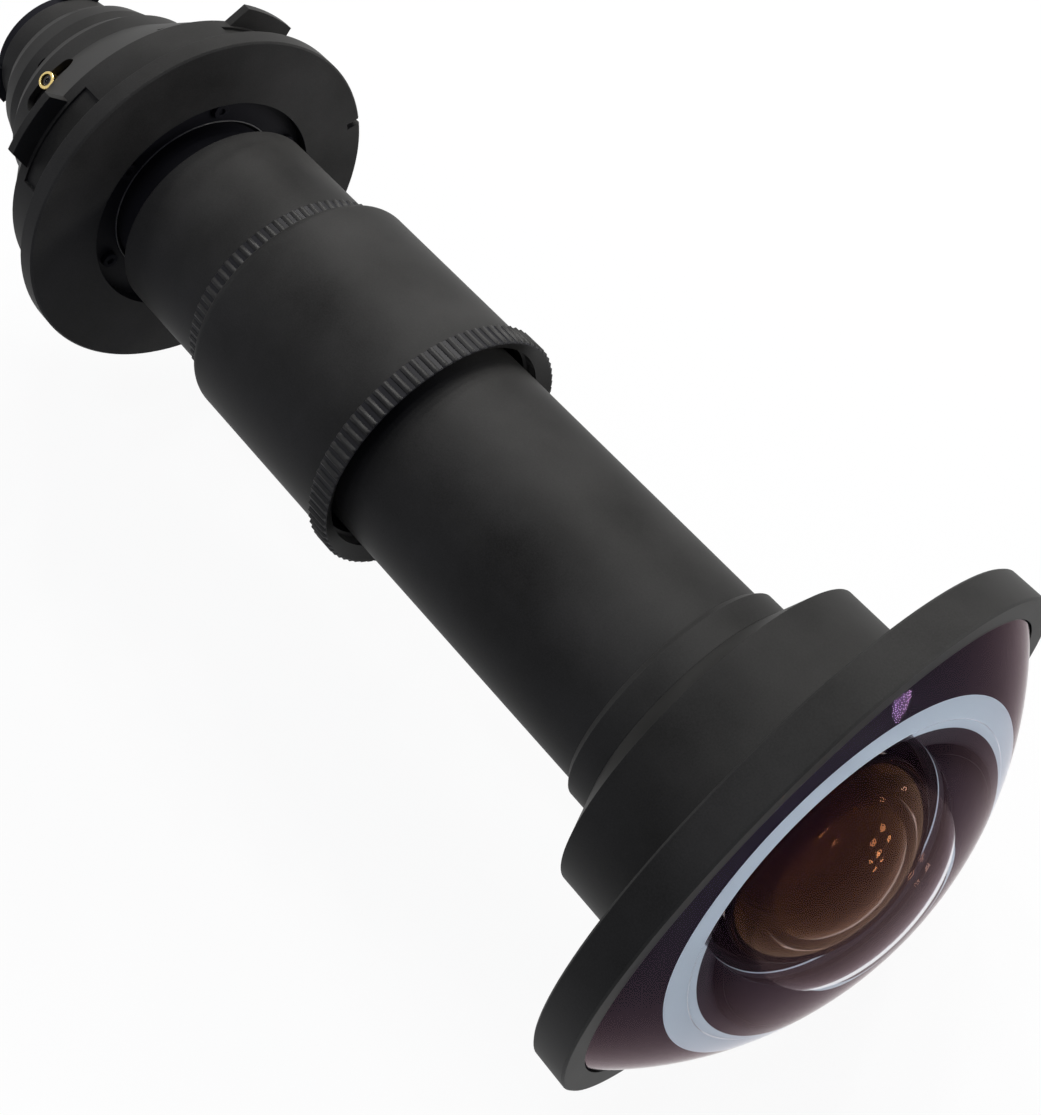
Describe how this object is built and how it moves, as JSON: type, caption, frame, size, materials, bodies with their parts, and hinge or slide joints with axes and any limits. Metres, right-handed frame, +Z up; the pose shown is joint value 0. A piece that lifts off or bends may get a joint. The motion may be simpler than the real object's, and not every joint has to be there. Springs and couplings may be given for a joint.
{
  "type": "projection lens",
  "caption": "Wide-angle projector lens in black anodised metal with a bayonet mount, knurled focus ring, turning rear adjustment and a large domed front element",
  "frame": {"origin": "Centre of the mount flange's rear face, on the optical axis", "axes": "+X runs along the optical axis towards the front element, +Z is up with the brass roller near the top"},
  "size_m": [0.4191, 0.1776, 0.1776],
  "materials": {
    "metal": "black anodised, satin",
    "inner_metal": "deep black anodised, matte",
    "grip_metal": "black anodised, finely knurled",
    "glass": "polished and coated",
    "screw_steel": "blackened",
    "roller_brass": "turned, bare",
    "rubber": "matte"
  },
  "bodies": {
    "mount": {"mount_flange": "metal", "bayonet_ring": "metal", "mount_housing": "metal", "flange_screws": "screw_steel", "key_pin": "screw_steel", "relay_neck": "inner_metal", "relay_lens_rear": "glass", "relay_spacer": "inner_metal", "relay_lens_front": "glass", "relay_retainer": "inner_metal", "fixed_tube": "metal", "stop_spacer": "inner_metal", "aperture_stop": "inner_metal", "tube_lens": "glass", "tube_lens_retainer": "inner_metal", "thrust_ring": "inner_metal"},
    "lock": {"lock_ring": "grip_metal"},
    "focus": {"focus_shell": "metal", "cam_sleeve": "inner_metal", "grip_ring": "grip_metal", "grip_screws": "screw_steel"},
    "front": {"slide_sleeve": "inner_metal", "slide_rollers": "roller_brass", "front_tube": "metal", "field_lens": "glass", "field_lens_retainer": "inner_metal", "front_collar": "metal", "collar_screws": "screw_steel", "front_housing": "metal", "front_plate": "metal", "front_baffle": "inner_metal", "bezel": "metal", "front_gasket": "rubber", "front_element": "glass", "second_element": "glass", "second_retainer": "inner_metal", "third_element": "glass", "third_retainer": "inner_metal"},
    "guide": {"guide_ring": "inner_metal"},
    "rear": {"rear_sleeve": "metal", "rear_barrel": "metal", "rear_lens": "glass", "rear_spacer": "inner_metal", "inner_lens": "glass", "rear_lug_ring": "inner_metal", "guide_ring_retainer": "inner_metal", "roller_screw": "screw_steel"},
    "roller": {"cam_roller": "roller_brass"}
  },
  "joints": [
    {"name": "lock_turn", "type": "hinge", "parent": "mount", "child": "lock", "pos_m": [0.0593, 0, 0], "axis": [1, 0, 0], "range_deg": [-90, 90]},
    {"name": "focus_turn", "type": "hinge", "parent": "mount", "child": "focus", "pos_m": [0.096, 0, 0], "axis": [1, 0, 0], "range_deg": [-35, 35]},
    {"name": "front_slide", "type": "slide", "parent": "mount", "child": "front", "axis": [1, 0, 0], "range_m": [-0.0036, 0.0036]},
    {"name": "rear_slide", "type": "slide", "parent": "mount", "child": "guide", "axis": [-1, 0, 0], "range_m": [-0.0012, 0.0015]},
    {"name": "rear_turn", "type": "hinge", "parent": "guide", "child": "rear", "pos_m": [-0.0438, 0, 0], "axis": [1, 0, 0], "range_deg": [-10.5, 13.5]},
    {"name": "roller_spin", "type": "hinge", "parent": "rear", "child": "roller", "pos_m": [-0.0441, -0.01779, 0.03583], "axis": [0, -0.4446, 0.8957], "continuous": true}
  ],
  "couplings": [
    {"joint": "front_slide", "follows": "focus_turn", "m_per_rad": 0.0057296},
    {"joint": "rear_slide", "follows": "rear_turn", "m_per_rad": 0.006102}
  ]
}
